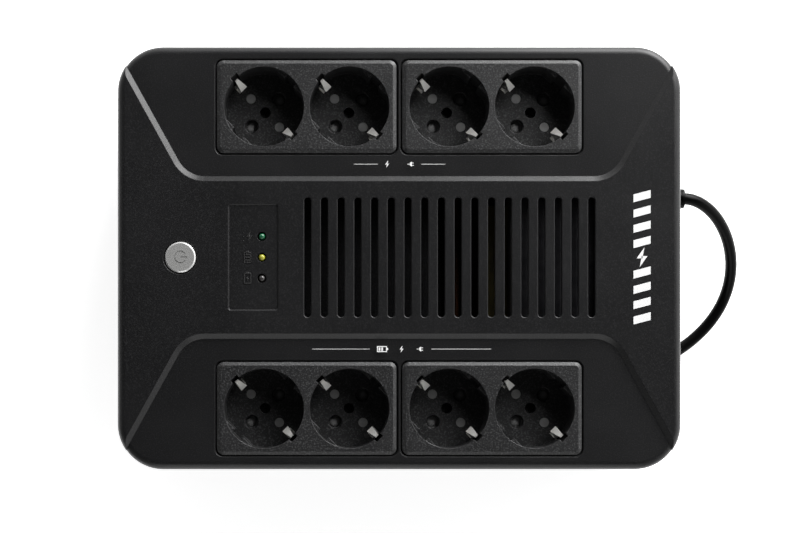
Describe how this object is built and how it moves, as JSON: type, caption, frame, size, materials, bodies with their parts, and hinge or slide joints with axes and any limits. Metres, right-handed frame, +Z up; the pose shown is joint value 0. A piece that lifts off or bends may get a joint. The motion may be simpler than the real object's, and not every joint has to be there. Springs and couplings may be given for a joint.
{
  "type": "uninterruptible power supply",
  "caption": "Low rectangular battery backup unit with two rows of round earthed mains outlets, vent slots, lamps and a power button on top, and a mains cord.",
  "frame": {"origin": "middle of the four rubber feet, on the surface the unit stands on, which is also under the middle of the case", "axes": "+X toward the end wall with the mains cord, +Y toward the back row of outlets, +Z up out of the outlets"},
  "size_m": [0.3199, 0.2074, 0.0926],
  "materials": {
    "case_black": "fine grained satin",
    "plate_black": "fine grained satin",
    "base_grey": "satin",
    "shutter_black": "satin",
    "rubber": "matte",
    "screw_steel": "zinc plated",
    "spring_steel": "bright",
    "clip_nickel": "nickel plated",
    "busbar_brass": "bright",
    "button_silver": "satin silver",
    "switch_white": "satin",
    "lamp_green": "clear tinted",
    "lamp_yellow": "clear tinted",
    "lamp_red": "clear, unlit",
    "board_green": "solder mask",
    "cable_grey": "satin",
    "sink_aluminium": "mill finish",
    "component_black": "satin",
    "relay_blue": "satin",
    "can_blue": "sleeved",
    "copper": "enamelled",
    "core_steel": "laminated",
    "winding_tape": "taped winding",
    "frame_steel": "zinc plated",
    "battery_grey": "satin",
    "terminal_lead": "tinned",
    "lead_red": "satin",
    "wire_brown": "satin",
    "wire_blue": "satin",
    "wire_green": "green with yellow stripe",
    "cord_black": "smooth PVC"
  },
  "bodies": {
    "case": {"bottom_case": "case_black", "top_cover": "case_black", "case_screws": "screw_steel", "rubber_feet": "rubber", "outlet_plate_front_left": "plate_black", "outlet_plate_front_right": "plate_black", "outlet_plate_back_left": "plate_black", "outlet_plate_back_right": "plate_black", "outlet_bases": "base_grey", "earth_clips": "clip_nickel", "live_busbars": "busbar_brass", "neutral_busbars": "busbar_brass", "shutter_springs": "spring_steel", "clip_rivets": "clip_nickel", "socket_screws": "screw_steel", "module_screws": "screw_steel", "power_switch": "component_black", "button_spring": "spring_steel", "lamp_green": "lamp_green", "lamp_yellow": "lamp_yellow", "lamp_red": "lamp_red", "control_board": "board_green", "control_screws": "screw_steel", "buzzer": "component_black", "ribbon_cable": "cable_grey", "main_board": "board_green", "board_screws": "screw_steel", "heat_sinks": "sink_aluminium", "power_transistors": "component_black", "relays": "relay_blue", "capacitors": "can_blue", "line_choke": "copper", "varistors": "relay_blue", "battery_fuse": "switch_white", "transformer_core": "core_steel", "transformer_windings": "winding_tape", "transformer_frame": "frame_steel", "transformer_screws": "screw_steel", "battery": "battery_grey", "battery_terminals": "terminal_lead", "battery_lead_black": "cord_black", "battery_lead_red": "lead_red", "live_wires": "wire_brown", "neutral_wires": "wire_blue", "earth_wire": "wire_green", "mains_cord": "cord_black", "cord_grommet": "cord_black", "breaker_body": "component_black"},
    "door": {"battery_door": "case_black"},
    "power_key": {"power_button": "button_silver", "switch_plunger": "switch_white"},
    "breaker_key": {"breaker_button": "switch_white"},
    "outlet_shutter_1": {"shutter_1": "shutter_black"},
    "outlet_shutter_2": {"shutter_2": "shutter_black"},
    "outlet_shutter_3": {"shutter_3": "shutter_black"},
    "outlet_shutter_4": {"shutter_4": "shutter_black"},
    "outlet_shutter_5": {"shutter_5": "shutter_black"},
    "outlet_shutter_6": {"shutter_6": "shutter_black"},
    "outlet_shutter_7": {"shutter_7": "shutter_black"},
    "outlet_shutter_8": {"shutter_8": "shutter_black"}
  },
  "joints": [
    {"name": "power_button_press", "type": "slide", "parent": "case", "child": "power_key", "axis": [0, 0, -1], "range_m": [0, 0.0018], "stiffness_N_per_m": 600, "deforming": ["button_spring"]},
    {"name": "breaker_button_trip", "type": "slide", "parent": "case", "child": "breaker_key", "axis": [1, 0, 0], "range_m": [0, 0.003]},
    {"name": "battery_door_slide", "type": "slide", "parent": "case", "child": "door", "axis": [-1, 0, 0], "range_m": [0, 0.15]},
    {"name": "shutter_1_turn", "type": "hinge", "parent": "case", "child": "outlet_shutter_1", "pos_m": [-0.06575, -0.0733, 0.0675], "axis": [0, 0, 1], "range_deg": [0, 40]},
    {"name": "shutter_2_turn", "type": "hinge", "parent": "case", "child": "outlet_shutter_2", "pos_m": [-0.02425, -0.0733, 0.0675], "axis": [0, 0, 1], "range_deg": [0, 40]},
    {"name": "shutter_3_turn", "type": "hinge", "parent": "case", "child": "outlet_shutter_3", "pos_m": [0.02425, -0.0733, 0.0675], "axis": [0, 0, 1], "range_deg": [0, 40]},
    {"name": "shutter_4_turn", "type": "hinge", "parent": "case", "child": "outlet_shutter_4", "pos_m": [0.06575, -0.0733, 0.0675], "axis": [0, 0, 1], "range_deg": [0, 40]},
    {"name": "shutter_5_turn", "type": "hinge", "parent": "case", "child": "outlet_shutter_5", "pos_m": [-0.06575, 0.0733, 0.0675], "axis": [0, 0, 1], "range_deg": [0, 40]},
    {"name": "shutter_6_turn", "type": "hinge", "parent": "case", "child": "outlet_shutter_6", "pos_m": [-0.02425, 0.0733, 0.0675], "axis": [0, 0, 1], "range_deg": [0, 40]},
    {"name": "shutter_7_turn", "type": "hinge", "parent": "case", "child": "outlet_shutter_7", "pos_m": [0.02425, 0.0733, 0.0675], "axis": [0, 0, 1], "range_deg": [0, 40]},
    {"name": "shutter_8_turn", "type": "hinge", "parent": "case", "child": "outlet_shutter_8", "pos_m": [0.06575, 0.0733, 0.0675], "axis": [0, 0, 1], "range_deg": [0, 40]}
  ]
}
